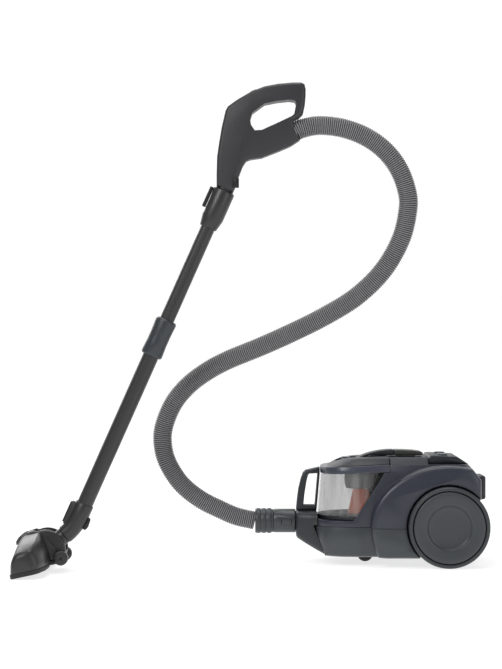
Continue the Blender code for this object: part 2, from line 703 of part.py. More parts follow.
def make_hose(look):
    curve = bpy.data.curves.new("hose", "CURVE")
    curve.dimensions = "3D"
    curve.bevel_depth = HOSE_R
    curve.bevel_resolution = 2
    curve.use_fill_caps = True
    spline = curve.splines.new("POLY")
    first = SOCKET - (SOCKET_DEPTH - 2 * GAP) * SOCKET_OUT
    last = in_canister(FERRULE_X - 2 * GAP, 0, CUFF_Z)
    route = [first] + smooth_route(HOSE_ROUTE, HOSE_POINTS) + [last]
    spline.points.add(len(route) - 1)
    for point, place in zip(spline.points, route):
        point.co = (*place, 1)
    hose = bpy.data.objects.new("hose", curve)
    curve.materials.append(look)
    bpy.context.scene.collection.objects.link(hose)
    return hose


def make_cuff(smooth, ribbed, latch):
    at = in_canister(0, 0, CUFF_Z)
    ribs = [(0.0200, FERRULE_X), (0.0245, FERRULE_X)]
    for i in range(3):
        x = 0.0025 + 0.0110 * i
        ribs += [(0.0258, x), (0.0258, x + 0.0055), (0.0240, x + 0.0065)]
    ribs += [(0.0240, 0.0348), (0.0200, 0.0348)]
    ferrule = add("hose_ferrule", turned(ribs, at, (1, 0, 0), hollow=True), ribbed)
    body = [(0.0165, 0.0351), (0.0235, 0.0351), (CUFF_R, 0.0370), (CUFF_R, 0.0790), (0.0235, 0.0805)]
    body += [(SPIGOT_R, 0.0805), (SPIGOT_R, 0.1130), (0.0165, 0.1130)]
    cuff = add("hose_cuff", turned(body, at, (1, 0, 0), hollow=True), smooth)
    for name, side in (("left", -1), ("right", 1)):
        low, high = sorted((side * 0.0225, side * 0.0300))
        carve(cuff, box(in_canister(0.0520, low, 0.0765), in_canister(0.0720, high, 0.0895)))
        seat = in_canister(0.0620, side * 0.0250, CUFF_Z)
        low, high = sorted((side * 0.0245, side * 0.0262))
        lug = box(in_canister(0.0524, low, 0.0769), in_canister(0.0716, high, 0.0891))
        tab = add(f"cuff_latch_{name}", lug, latch, seat)
        carry(f"cuff_latch_{name}_slide", seat, [tab])
    return [ferrule, cuff]


# ---------------------------------------------------------------- grip


def grip_outline():
    """The grip's side outline, clockwise from the wand joint's back edge."""
    return [
        (-0.0780, 0.7560), (-0.0780, 0.7800), (-0.0770, 0.8140), (-0.0735, 0.8380),
        (-0.0680, 0.8710), (-0.0605, 0.9030), (-0.0560, 0.9115), (-0.0390, 0.9240),
        (-0.0100, 0.9410), (0.0160, 0.9510), (0.0420, 0.9560), (0.0700, 0.9585),
        (0.0880, 0.9585), (0.0945, 0.9550), (0.0968, 0.9450), (0.0966, 0.9310),
        (0.0950, 0.9130), (0.0915, 0.8970), (0.0830, 0.8885), (0.0727, 0.8842),
        (0.0857, 0.8462), (0.0670, 0.8340), (0.0400, 0.8225), (0.0100, 0.8110),
        (-0.0110, 0.8080), (-0.0200, 0.8050), (-0.0270, 0.7940), (-0.0370, 0.7680),
        (-0.0460, 0.7430),
    ]


def make_grip(shell, dark, light):
    opening = [
        (-0.0105, 0.8750), (-0.0120, 0.8860), (-0.0080, 0.8990), (0.0160, 0.9165),
        (0.0400, 0.9215), (0.0640, 0.9240), (0.0750, 0.9225), (0.0780, 0.9170),
        (0.0740, 0.8960), (0.0690, 0.8920), (0.0460, 0.8810), (0.0110, 0.8650),
        (-0.0030, 0.8640),
    ]
    halves = []
    for name, side in (("left", -1), ("right", 1)):
        low, high = sorted((WAND_Y + side * GAP / 2, WAND_Y + side * GAP / 2 + side * GRIP_HALF))
        bm = prism(grip_outline(), low, high)
        far = WAND_Y + side * (GAP / 2 + GRIP_HALF)
        rims = [e for e in bm.edges if all(abs(v.co.y - far) < 1e-6 for v in e.verts)]
        bmesh.ops.bevel(bm, geom=rims, offset=0.0065, segments=2, profile=0.5, affect="EDGES")
        half = add(f"grip_{name}", bm, shell)
        carve(half, prism(opening, WAND_Y - 0.05, WAND_Y + 0.05))
        # Air way from the hose socket down into the wand socket
        path = [SOCKET + 0.02 * SOCKET_OUT, SOCKET, Vector((0.040, WAND_Y, 0.8500))]
        path += [Vector((-0.005, WAND_Y, 0.8330)), Vector((-0.0380, WAND_Y, 0.8050))]
        path += [on_wand(-0.020), on_wand(0.020)]
        carve(half, loft(bent_rings(path, 0.0135, 16)))
        carve(half, rod(0.0179, on_wand(-0.0215), on_wand(0.05), 28))
        seat = SOCKET - SOCKET_DEPTH * SOCKET_OUT
        carve(half, rod(HOSE_R + 0.0005, seat, SOCKET + 0.05 * SOCKET_OUT, 28))
        halves.append(half)

    seat = Vector((-0.0050, WAND_Y, 0.9420))
    for half in halves:
        carve(half, box(seat + Vector((-0.0100, -0.0085, -0.0040)), seat + Vector((0.0180, 0.0085, 0.02))))
    along = Vector((0.87, 0, 0.36)).normalized()
    slider = box((-0.0050, -0.0080, -0.0015), (0.0050, 0.0080, 0.0025), 0.0006)
    turn = Matrix.Rotation(-math.atan2(along.z, along.x), 4, "Y")
    bmesh.ops.transform(slider, matrix=Matrix.Translation(seat) @ turn, verts=slider.verts)
    vent = add("suction_slider", slider, light, seat)
    carry("suction_slider_slide", seat, [vent])

    near = WAND_Y - GRIP_HALF - 2 * GAP
    clip = box((-0.0440, near - 0.0039, 0.7510), (-0.0340, near, 0.7700))
    hook = add("accessory_clip", clip, dark)
    return halves + [hook]


# ---------------------------------------------------------------- wand


def make_wand(shell, tube, collar_look, black):
    socket = [(0.0146, -0.0200), (0.0175, -0.0200), (0.0175, 0.0008), (0.0218, 0.0038)]
    socket += [(0.0218, 0.0600), (0.0170, 0.0820), (0.0146, 0.0820)]
    collar = add("wand_socket", turned(socket, on_wand(0), WAND_DOWN, hollow=True), shell)
    seat = on_wand(0.0300, 0.0250)

    def along_wand(low, high):
        """A box given down the wand, across it and towards its back."""
        bm = box(low, high)
        frame = Matrix((WAND_DOWN, Vector((0, 1, 0)), WAND_BACK)).transposed().to_4x4()
        bmesh.ops.transform(bm, matrix=Matrix.Translation(WAND_TOP) @ frame, verts=bm.verts)
        bmesh.ops.recalc_face_normals(bm, faces=bm.faces)
        return bm

    carve(collar, along_wand((0.0040, -0.0070, 0.0185), (0.0560, 0.0070, 0.03)))
    pad = along_wand((0.0050, -0.0062, 0.0215), (0.0470, 0.0062, 0.0285))
    button = add("wand_lock_button", pad, black, seat)
    carry("wand_lock_press", seat, [button])
    inner = add("inner_tube", pipe(INNER_TUBE_R, 0.0130, on_wand(0.010), on_wand(0.470)), tube)

    bottom = 0.7000
    sleeve = pipe(OUTER_TUBE_R, INNER_TUBE_R + 0.0004, on_wand(0.2965), on_wand(bottom))
    outer = add("outer_tube", sleeve, tube)
    low, high = COLLAR_S
    rim = INNER_TUBE_R + 0.0006
    wall = OUTER_TUBE_R + 0.0004
    profile = [(rim, 0), (COLLAR_R - 0.003, 0), (COLLAR_R, 0.004), (COLLAR_R - 0.0012, 0.030)]
    profile += [(COLLAR_R - 0.0012, 0.048), (COLLAR_R, 0.0735), (COLLAR_R - 0.002, high - low)]
    profile += [(wall, high - low), (wall, 0.0085), (rim, 0.0085)]
    at = on_wand(low)
    ring = add("slide_collar", turned(profile, at, WAND_DOWN, hollow=True), collar_look, at)
    carry("slide_collar_slide", at, [ring])

    # The elbow: a sleeve over the tube's end that bends down into the neck
    tilt = Vector((TILT_X, WAND_Y, TILT_Z))
    end = tilt + NECK_UP * (NECK_JOINT + GAP)
    path = [on_wand(0.6760), on_wand(0.6900), on_wand(ELBOW_S)]
    for i in range(1, 5):
        t = i / 5
        path.append((1 - t) ** 2 * path[2] + 2 * t * (1 - t) * on_wand(CROSS_S) + t**2 * end)
    path += [end + 0.001 * NECK_UP, end]
    elbow = add("elbow", loft(bent_rings(path, ELBOW_R, 20)), shell)
    carve(elbow, along_wand((0.6800, -0.0075, 0.0100), (0.7275, 0.0075, 0.0245)), "UNION")
    carve(elbow, rod(OUTER_TUBE_R + 0.0004, on_wand(0.65), on_wand(bottom + GAP)))
    inner_path = [on_wand(0.6950)] + path[2:] + [end - 0.01 * NECK_UP]
    carve(elbow, loft(bent_rings(inner_path, 0.0140, 12)))
    carve(elbow, along_wand((0.6820, -0.0060, 0.0195), (0.7255, 0.0060, 0.03)))
    at = on_wand(0.704, 0.0230)
    key = along_wand((0.6825, -0.0055, 0.0215), (0.7250, 0.0055, 0.0275))
    press = add("elbow_lock_button", key, black, at)
    carry("elbow_lock_press", at, [press])
    hook = [(-0.3310, 0.1045), (-0.3270, 0.1022), (-0.3264, 0.0985), (-0.3310, 0.0850)]
    hook += [(-0.3345, 0.0808), (-0.3385, 0.0800), (-0.3440, 0.0850), (-0.3400, 0.1030)]
    parking = add("park_hook", prism(hook, WAND_Y - 0.006, WAND_Y + 0.006), black)
    carve(parking, loft(bent_rings(path, ELBOW_R + GAP, 20)))
    return [collar, inner], [outer, elbow, parking]


# ---------------------------------------------------------------- floor head


def make_knuckle(look):
    tilt = Vector((TILT_X, WAND_Y, TILT_Z))
    side = Vector((0, KNUCKLE_HALF, 0))
    knuckle = add("knuckle", rod(KNUCKLE_R, tilt - side, tilt + side, 28), look, tilt)
    carve(knuckle, rod(NECK_R, tilt, tilt + NECK_JOINT * NECK_UP, 28), "UNION")
    carve(knuckle, rod(0.0135, tilt + 0.010 * NECK_UP, tilt + 0.06 * NECK_UP, 20))
    down = Vector((-0.35, 0, -1)).normalized()
    carve(knuckle, rod(0.0125, tilt + 0.012 * NECK_UP, tilt + 0.05 * down, 20))
    return knuckle


def nozzle_section(y, front, rear, top, base=SOLE_TOP + GAP):
    """A rounded section of the floor head's cover at one place along it."""
    depth = rear - front
    nose_x, tail_x = min(0.020, depth * 0.45), min(0.016, depth * 0.35)
    nose_z, tail_z = (top - base) * 0.62, (top - base) * 0.75
    points = [(front, base)]
    points += ellipse((front + nose_x, top - nose_z), (nose_x, nose_z), 180, 90, 6)
    points += ellipse((rear - tail_x, top - tail_z), (tail_x, tail_z), 90, 0, 6)
    points += [(rear, base)]
    lean = math.tan(HEAD_LEAN)
    return [Vector((x + lean * z * (rear - x) / depth, WAND_Y + y, z)) for x, z in points]


def make_floor_head(shell, dark, black, tyre, steel):
    front = NOZZLE_FRONT
    axis_x, axis_z = HEAD_AXIS
    base = SOLE_TOP + GAP
    stations = [
        (-NOZZLE_HALF, front + 0.0040, -0.4250, 0.0380),
        (-0.134, front, -0.4120, 0.0460),
        (-0.105, front, -0.4010, 0.0560),
        (-0.072, front, -0.3985, 0.0630),
        (-0.045, front, -0.3985, 0.0670),
    ]
    stations += [(-y, low, high, top) for y, low, high, top in reversed(stations)]
    cover = add("nozzle_cover", loft([nozzle_section(*row) for row in stations]), shell)
    hump = [(front + 0.0019, base), (-0.4573, 0.0440), (-0.4550, 0.0540), (-0.4525, 0.0620)]
    hump += [(-0.4440, 0.0680), (-0.4314, 0.0717), (-0.4190, 0.0722)]
    hump += ellipse(HEAD_AXIS, (0.0405, 0.0405), 102, -28, 11)
    hump += [(-0.3697, 0.0055), (-0.3845, 0.0055), (-0.3845, base)]
    carve(cover, prism(hump, WAND_Y - 0.0290, WAND_Y + 0.0290, 0.003, 2), "UNION")
    # Slot in which the knuckle tilts, open to the rear and the top
    half = KNUCKLE_HALF + 0.0006
    slot = ellipse(HEAD_AXIS, (KNUCKLE_R + 0.0008, KNUCKLE_R + 0.0008), 128, 340, 17)
    slot += [(axis_x + 0.053, axis_z - 0.010), (axis_x + 0.053, axis_z + 0.053)]
    slot += [(axis_x - 0.0172, axis_z + 0.053)]
    carve(cover, prism(slot, WAND_Y - half, WAND_Y + half))
    wheel_x, wheel_z = NOZZLE_WHEEL
    # Suction chamber under the cover
    chamber = [(front + 0.012, 0.0), (front + 0.012, 0.0240), (-0.4300, 0.0240)]
    chamber += [(-0.4180, 0.0150), (-0.4180, 0.0)]
    carve(cover, prism(chamber, WAND_Y - 0.0900, WAND_Y + 0.0900))

    plan = [(front, -0.134), (front + 0.004, -NOZZLE_HALF), (-0.4250, -NOZZLE_HALF)]
    plan += [(-0.4120, -0.134), (-0.4010, -0.105), (-0.3985, -0.072), (-0.3990, -0.0500)]
    plan += [(-0.4040, -0.0290), (-0.3860, -0.0290)]
    plan += [(x, -y) for x, y in reversed(plan)]
    rings = [[Vector((x, WAND_Y + y, z)) for x, y in plan] for z in (0.0, SOLE_TOP)]
    sole = add("nozzle_sole", loft(rings), dark)
    carve(sole, box((front + 0.020, WAND_Y - 0.105, -0.01), (front + 0.034, WAND_Y + 0.105, 0.02)))
    carve(sole, prism(slot, WAND_Y - half, WAND_Y + half))
    strips = []
    for name, low in (("front", front + 0.012), ("rear", front + 0.0375)):
        groove = box((low, WAND_Y - 0.100, -0.001), (low + 0.0045, WAND_Y + 0.100, 0.0062))
        carve(sole, groove)
        bar = box((low + 0.0006, WAND_Y - 0.099, 0.0004), (low + 0.0039, WAND_Y + 0.099, 0.0058))
        strips.append(add(f"brush_strip_{name}", bar, black))

    radius = NOZZLE_WHEEL_R
    wheels = []
    for name, side in (("left", -1), ("right", 1)):
        centre = Vector((wheel_x, WAND_Y + side * 0.0390, wheel_z))
        profile = [(0.0022, -0.0075), (0.0125, -0.0075), (radius, -0.0055), (radius, 0.0055)]
        profile += [(0.0125, 0.0075), (0.0022, 0.0075)]
        roller = turned(profile, centre, (0, 1, 0), 24, hollow=True)
        wheels.append(add(f"nozzle_wheel_{name}", roller, tyre, centre))
    reach = Vector((0, 0.0455, 0))
    middle = Vector((wheel_x, WAND_Y, wheel_z))
    carve(cover, rod(0.0021, middle - 1.1 * reach, middle + 1.1 * reach, 12))
    pin = add("nozzle_axle", rod(0.0018, middle - reach, middle + reach, 12), steel)

    at = Vector((-0.4440, WAND_Y, 0.0639))
    tread = [(-0.4600, 0.0499), (-0.4590, 0.0579), (-0.4530, 0.0644), (-0.4440, 0.0701)]
    tread += [(-0.4350, 0.0724), (-0.4350, 0.0664), (-0.4440, 0.0619), (-0.4520, 0.0559)]
    pedal = add("brush_pedal", prism(tread, WAND_Y - 0.0150, WAND_Y + 0.0150), black, at)
    well = [(-0.4750, 0.0474), (-0.4570, 0.0474), (-0.4500, 0.0539), (-0.4440, 0.0589)]
    well += [(-0.4335, 0.0589), (-0.4335, 0.0840), (-0.4750, 0.0840)]
    carve(cover, prism(well, WAND_Y - 0.0158, WAND_Y + 0.0158))

    # Everything leans together about the tilt axis, and then each joint gets its pivot
    lean = Matrix.Translation((TILT_X, WAND_Y, TILT_Z)) @ Matrix.Rotation(-HEAD_LEAN, 4, "Y")
    lean = lean @ Matrix.Translation((-axis_x, -WAND_Y, -axis_z))
    for piece in [cover, sole, pin, pedal] + strips + wheels:
        piece.matrix_world = lean @ Matrix.Translation(piece.location)
    bpy.context.view_layer.update()
    for wheel in wheels:
        carry(wheel.name + "_spin", wheel.matrix_world.translation, [wheel])
    carry("brush_pedal_pivot", pedal.matrix_world.translation, [pedal])
    carry("brush_strips_slide", lean @ Vector((front + 0.027, WAND_Y, 0.003)), strips)
    return [cover, sole, pin]


# ---------------------------------------------------------------- build


def main():
    for old in list(bpy.data.objects):
        bpy.data.objects.remove(old)

    navy = material("navy_shell", (0.055, 0.060, 0.085), 0.38)
    gunmetal = material("gunmetal_shell", (0.080, 0.092, 0.105), 0.40)
    nose_grey = material("nose_grey", (0.032, 0.037, 0.043), 0.42)
    panel = material("panel_dark", (0.035, 0.037, 0.045), 0.40)
    band = material("band_blue_grey", (0.085, 0.092, 0.125), 0.35)
    block = material("block_dark", (0.025, 0.023, 0.040), 0.45)
    clear = material("clear_cup", (0.80, 0.82, 0.82), 0.08, alpha=0.35)
    terracotta = material("terracotta", (0.38, 0.14, 0.10), 0.5)
    soft_grey = material("soft_grey", (0.25, 0.25, 0.26), 0.5)
    olive = material("olive_grey", (0.060, 0.065, 0.055), 0.40)
    rim = material("wheel_rim", (0.050, 0.057, 0.062), 0.5)
    disc = material("wheel_face", (0.062, 0.072, 0.080), 0.42)
    rubber = material("rubber", (0.020, 0.020, 0.022), 0.75)
    steel = material("steel", (0.55, 0.55, 0.57), 0.3, 1.0)
    foam = material("foam", (0.10, 0.10, 0.12), 0.9)
    hose_grey = material("hose_grey", (0.16, 0.155, 0.165), 0.5)
    cuff_grey = material("cuff_grey", (0.060, 0.066, 0.072), 0.38)
    black = material("button_black", (0.008, 0.008, 0.009), 0.45)
    grip_grey = material("grip_grey", (0.040, 0.038, 0.042), 0.48)
    wand_grey = material("wand_grey", (0.043, 0.043, 0.044), 0.42)
    collar_blue = material("collar_blue", (0.048, 0.058, 0.070), 0.38)
    sole_dark = material("sole_dark", (0.018, 0.018, 0.019), 0.6)

    make_lower_shell(gunmetal)
    make_upper_shell(navy)
    make_nose(nose_grey)
    make_rear_pieces(block, panel, foam)
    make_deck(panel, band)
    make_rear_wheels(rim, disc, steel)
    make_caster(panel, rubber, steel)
    make_motor_bay(soft_grey, steel, foam)
    make_dust_bin(clear, panel, band, terracotta, soft_grey)
    make_carry_handle(olive)

    hose = make_hose(hose_grey)
    cuff = make_cuff(cuff_grey, rim, cuff_grey)
    carry("hose_plug_slide", in_canister(0.0815, 0, CUFF_Z), cuff + [hose])

    grip = make_grip(grip_grey, black, soft_grey)
    upper, lower = make_wand(wand_grey, wand_grey, collar_blue, black)
    carry("grip_slide", WAND_TOP, grip + upper)
    carry("wand_slide", on_wand(COLLAR_S[0]), lower)
    knuckle = make_knuckle(wand_grey)
    carry("neck_swivel", Vector((TILT_X, WAND_Y, TILT_Z)) + NECK_JOINT * NECK_UP, [knuckle])
    head = make_floor_head(wand_grey, sole_dark, black, rubber, steel)
    carry("nozzle_tilt", (TILT_X, WAND_Y, TILT_Z), head)


main()
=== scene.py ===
"""Looks of the canister vacuum cleaner: its corrugated hose, rounded mouldings and finishes."""

import json
import math

import bmesh
import bpy
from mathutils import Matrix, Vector

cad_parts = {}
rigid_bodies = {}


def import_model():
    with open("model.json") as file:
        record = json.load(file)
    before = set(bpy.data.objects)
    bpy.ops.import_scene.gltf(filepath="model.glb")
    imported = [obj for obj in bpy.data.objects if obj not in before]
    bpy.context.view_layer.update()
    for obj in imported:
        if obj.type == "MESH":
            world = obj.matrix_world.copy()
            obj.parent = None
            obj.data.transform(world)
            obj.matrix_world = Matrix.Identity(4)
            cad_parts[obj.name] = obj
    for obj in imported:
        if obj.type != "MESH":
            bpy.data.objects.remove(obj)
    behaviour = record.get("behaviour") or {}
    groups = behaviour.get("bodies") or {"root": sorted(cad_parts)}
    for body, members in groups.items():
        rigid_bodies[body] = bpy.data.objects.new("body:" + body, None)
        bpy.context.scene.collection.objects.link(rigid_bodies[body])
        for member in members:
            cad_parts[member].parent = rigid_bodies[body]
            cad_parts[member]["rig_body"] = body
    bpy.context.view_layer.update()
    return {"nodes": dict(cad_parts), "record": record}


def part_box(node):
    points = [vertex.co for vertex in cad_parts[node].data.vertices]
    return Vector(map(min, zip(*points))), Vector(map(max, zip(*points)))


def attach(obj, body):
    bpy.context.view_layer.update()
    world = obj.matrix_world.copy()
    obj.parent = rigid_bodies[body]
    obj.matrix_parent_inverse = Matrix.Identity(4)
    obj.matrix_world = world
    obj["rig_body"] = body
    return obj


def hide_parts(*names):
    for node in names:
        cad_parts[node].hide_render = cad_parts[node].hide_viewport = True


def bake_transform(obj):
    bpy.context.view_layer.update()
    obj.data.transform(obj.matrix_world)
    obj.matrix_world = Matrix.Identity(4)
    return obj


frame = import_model()

SLOT = {row["node"]: row["material_slot"] for row in frame["record"]["subparts"]}
BODY = {node: piece["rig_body"] for node, piece in frame["nodes"].items()}

# ---------------------------------------------------------------- places read from the frame


def middle(node):
    low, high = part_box(node)
    return (low + high) / 2


CANISTER_Y = middle("upper_shell").y
WAND_Y = middle("knuckle").y
CUFF_Z = middle("hose_cuff").z

HOSE_R = 0.0195
HOSE_ROUTE = [
    (0.0911, -0.0725, 0.8696),
    (0.122, -0.0725, 0.8755),
    (0.167, -0.0725, 0.871),
    (0.212, -0.0725, 0.855),
    (0.251, -0.072, 0.828),
    (0.280, -0.070, 0.791),
    (0.297, -0.066, 0.746),
    (0.299, -0.062, 0.710),
    (0.286, -0.053, 0.653),
    (0.252, -0.040, 0.592),
    (0.201, -0.025, 0.541),
    (0.141, -0.009, 0.503),
    (0.078, 0.007, 0.471),
    (0.012, 0.024, 0.441),
    (-0.056, 0.039, 0.413),
    (-0.099, 0.049, 0.390),
    (-0.139, 0.057, 0.360),
    (-0.170, 0.064, 0.322),
    (-0.189, 0.070, 0.275),
    (-0.191, 0.074, 0.238),
    (-0.181, 0.076, 0.201),
    (-0.154, 0.0775, 0.159),
    (-0.115, 0.0775, 0.127),
    (-0.072, 0.0775, 0.105),
    (-0.040, 0.0775, 0.0915),
    (-0.0150, 0.0775, 0.0830),
]
SOCKET = Vector((0.0800, WAND_Y, 0.8652))
SOCKET_OUT = Vector((0.929, 0, 0.370)).normalized()
SOCKET_DEPTH = 0.0054
FERRULE = Vector((-0.0026, CANISTER_Y, CUFF_Z))
RIB_PITCH = 0.0040
RIB_STEPS = 6
RIB_DEPTH = 0.0019
HOSE_SIDES = 28
# Angle of the faces that are still joined up as flat, in radians
FLAT = math.radians(0.08)

WHEEL_STEPS = 128
TREAD = [
    (0.0728, 0.0), (0.0785, 0.0), (0.0803, 0.0009), (0.0810, 0.0030), (0.0810, 0.0335),
    (0.0804, 0.0358), (0.0790, 0.0378), (0.0770, 0.0385), (0.0742, 0.0385), (0.0732, 0.0378),
    (0.0728, 0.0362),
]
DISC = [
    (0.0, 0.0230), (0.0060, 0.0230), (0.0060, 0.0), (0.0140, 0.0), (0.0160, 0.0200),
    (0.0700, 0.0200), (0.0712, 0.0225), (0.0712, 0.0380), (0.0707, 0.0394), (0.0696, 0.0404),
    (0.0680, 0.0409), (0.0600, 0.0404), (0.0500, 0.0395), (0.0458, 0.0390), (0.0444, 0.0381),
    (0.0432, 0.0363), (0.0418, 0.0348), (0.0390, 0.0339), (0.0300, 0.0332), (0.0150, 0.0327),
    (0.0, 0.0326),
]


# ---------------------------------------------------------------- shader sums


class Socket:
    """A node's output, which sums can be written with."""

    def __init__(self, look, link):
        self.look = look
        self.link = link

    def maths(self, operation, *values):
        return self.look.node("ShaderNodeMath", {"operation": operation}, dict(enumerate(values)))

    def __add__(self, other):
        return self.maths("ADD", self, other)

    __radd__ = __add__

    def __sub__(self, other):
        return self.maths("SUBTRACT", self, other)

    def __rsub__(self, other):
        return self.maths("SUBTRACT", other, self)

    def __mul__(self, other):
        return self.maths("MULTIPLY", self, other)

    __rmul__ = __mul__

    def __pow__(self, other):
        return self.maths("POWER", self, other)

    def kept(self, low, high):
        """0 up to low, 1 from high, and a straight ramp between."""
        settings = {"clamp": True}
        return self.look.node("ShaderNodeMapRange", settings, {0: self, 1: low, 2: high})


class Look:
    """One material: its own shader's fixed values, and the nodes behind what varies."""

    def __init__(self, name, **fixed):
        self.material = bpy.data.materials.new(name)
        self.material.use_nodes = True
        self.tree = self.material.node_tree
        self.shader = self.tree.nodes["Principled BSDF"]
        for key, value in fixed.items():
            self.shader.inputs[key.replace("_", " ")].default_value = value

    def node(self, kind, settings=None, values=None, output=0):
        made = self.tree.nodes.new(kind)
        for key, value in (settings or {}).items():
            setattr(made, key, value)
        for key, value in (values or {}).items():
            self.feed(made.inputs[key], value)
        return Socket(self, made.outputs[output])

    def feed(self, socket, value):
        if isinstance(value, Socket):
            self.tree.links.new(value.link, socket)
        elif isinstance(value, tuple) and len(value) == 3 and socket.type == "RGBA":
            socket.default_value = (*value, 1)
        else:
            socket.default_value = value

    def set(self, **values):
        for key, value in values.items():
            self.feed(self.shader.inputs[key.replace("_", " ")], value)

    def place(self):
        return self.node("ShaderNodeTexCoord", output="Object")

    def axis(self, letter):
        return self.node("ShaderNodeSeparateXYZ", {}, {0: self.place()}, output="XYZ".index(letter))

    def noise(self, scale, detail=3.0, rough=0.5, stretch=None):
        where = self.place()
        if stretch:
            settings = {"operation": "MULTIPLY"}
            where = self.node("ShaderNodeVectorMath", settings, {0: where, 1: stretch})
        values = {"Vector": where, "Scale": scale, "Detail": detail, "Roughness": rough}
        return self.node("ShaderNodeTexNoise", {}, values, output=0)

    def blend(self, share, low, high):
        settings = {"data_type": "RGBA"}
        return self.node("ShaderNodeMix", settings, {0: share, 6: low, 7: high}, output=2)

    def bumped(self, height, distance, strength=1.0):
        values = {"Height": height, "Distance": distance, "Strength": strength}
        return self.node("ShaderNodeBump", {}, values)


def shade(colour, factor):
    return tuple(min(1.0, channel * factor) for channel in colour)


def moulded(name, colour, roughness, grain=0.00005, grain_scale=1400, mottle=0.10, **fixed):
    """Moulded plastic: a fine sparked texture, faint cloudiness and rubbed patches."""
    look = Look(name, Metallic=0.0, **fixed)
    cloud = look.noise(9.0, 4.0)
    rubbed = look.noise(38.0, 5.0, 0.6).kept(0.48, 0.72)
    scuffs = look.noise(220.0, 3.0, 0.7, (1.0, 1.0, 0.15)).kept(0.66, 0.80)
    dark, light = shade(colour, 1 - mottle), shade(colour, 1 + mottle)
    look.set(
        Base_Color=look.blend(scuffs * 0.10, look.blend(cloud, dark, light), shade(colour, 1.9)),
        Roughness=roughness + rubbed * 0.07 + scuffs * 0.08 - cloud * 0.04,
    )
    fine = look.noise(grain_scale, 2.0) + look.noise(grain_scale / 5, 2.0) * 0.5
    look.set(Normal=look.bumped(fine, grain))
    return look


def rubbery(name, colour, roughness):
    """Rubber with a dull, slightly dusty skin and fine moulding lines."""
    look = moulded(name, colour, roughness, 0.00010, 900, 0.18)
    dust = look.noise(60.0, 6.0, 0.65).kept(0.45, 0.75)
    base = look.noise(9.0, 4.0)
    rubber = look.blend(base, colour, shade(colour, 1.3))
    look.set(Base_Color=look.blend(dust * 0.25, rubber, (0.07, 0.07, 0.07)))
    return look


def metal(name, colour):
    look = Look(name, Metallic=1.0)
    brushed = look.noise(300.0, 3.0, 0.6, (1.0, 8.0, 1.0))
    look.set(
        Base_Color=look.blend(brushed, shade(colour, 0.85), shade(colour, 1.1)),
        Roughness=0.24 + brushed * 0.18,
        Normal=look.bumped(brushed, 0.00003),
    )
    return look


def foam_look(name, colour):
    look = Look(name)
    cells = look.node("ShaderNodeTexVoronoi", {}, {"Vector": look.place(), "Scale": 700.0})
    look.set(
        Base_Color=look.blend(cells, shade(colour, 0.5), shade(colour, 1.4)),
        Roughness=0.92 + cells * 0.05,
        Normal=look.bumped(cells, 0.0006),
    )
    return look


def clear_look(name):
    """Clear smoked plastic, with faint upright streaks of painted reflection on it."""
    look = Look(name, IOR=1.49)
    # Upright streaks of painted reflection: the cup is paler and less clear along them.
    painted_reflection_streaks = look.noise(60.0, 4.0, 0.6, (1.0, 1.0, 0.10)).kept(0.42, 0.70)
    haze = look.noise(14.0, 3.0)
    look.set(
        Base_Color=look.blend(painted_reflection_streaks, (0.05, 0.05, 0.05), (0.34, 0.35, 0.34)),
        Roughness=0.05 + haze * 0.07,
        Alpha=0.20 + painted_reflection_streaks * 0.12,
        Coat_Weight=0.6 + haze * 0.2,
    )
    return look


def terracotta_look(name, colour):
    """Red-brown translucent plastic with upright fins and settled dust near its foot; a faint
    painted glow (emission) stands in for light passing through it.
    """
    # The faint emission in the cone's own colour is a painted glow, not a lamp.
    look = Look(name, Emission_Strength=0.16)
    height = look.axis("Z")
    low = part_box("cyclone_cone")[0].z
    dust = (1 - (height - low).kept(0.0, 0.012)) * look.noise(240.0, 4.0).kept(0.35, 0.65)
    cloud = look.noise(30.0, 4.0)
    base = look.blend(cloud, shade(colour, 0.88), shade(colour, 1.12))
    look.set(
        Base_Color=look.blend(dust * 0.5, base, (0.42, 0.40, 0.37)),
        Emission_Color=base,
        Roughness=0.42 + cloud * 0.12,
        Normal=look.bumped(look.noise(900.0, 2.0), 0.00005),
    )
    return look


def hose_look(name):
    """Light ribs, scuffed paler in places, with painted shade darkening the folds between them."""
    look = Look(name)
    crest = look.node("ShaderNodeAttribute", {"attribute_name": "crest"}, output="Fac")
    cloud = look.noise(26.0, 4.0)
    scuffs = look.noise(500.0, 3.0, 0.7).kept(0.60, 0.78)
    rib = look.blend(cloud, (0.190, 0.187, 0.196), (0.245, 0.241, 0.251))
    worn = look.blend(scuffs * 0.25, rib, (0.45, 0.44, 0.45))
    # Where crest falls to 0 in the folds, the near-black colour is painted shade.
    look.set(
        Base_Color=look.blend(crest ** 1.4, (0.016, 0.015, 0.017), worn),
        Roughness=0.50 - crest * 0.12 + cloud * 0.05,
        Normal=look.bumped(look.noise(1500.0, 2.0), 0.00004),
    )
    return look


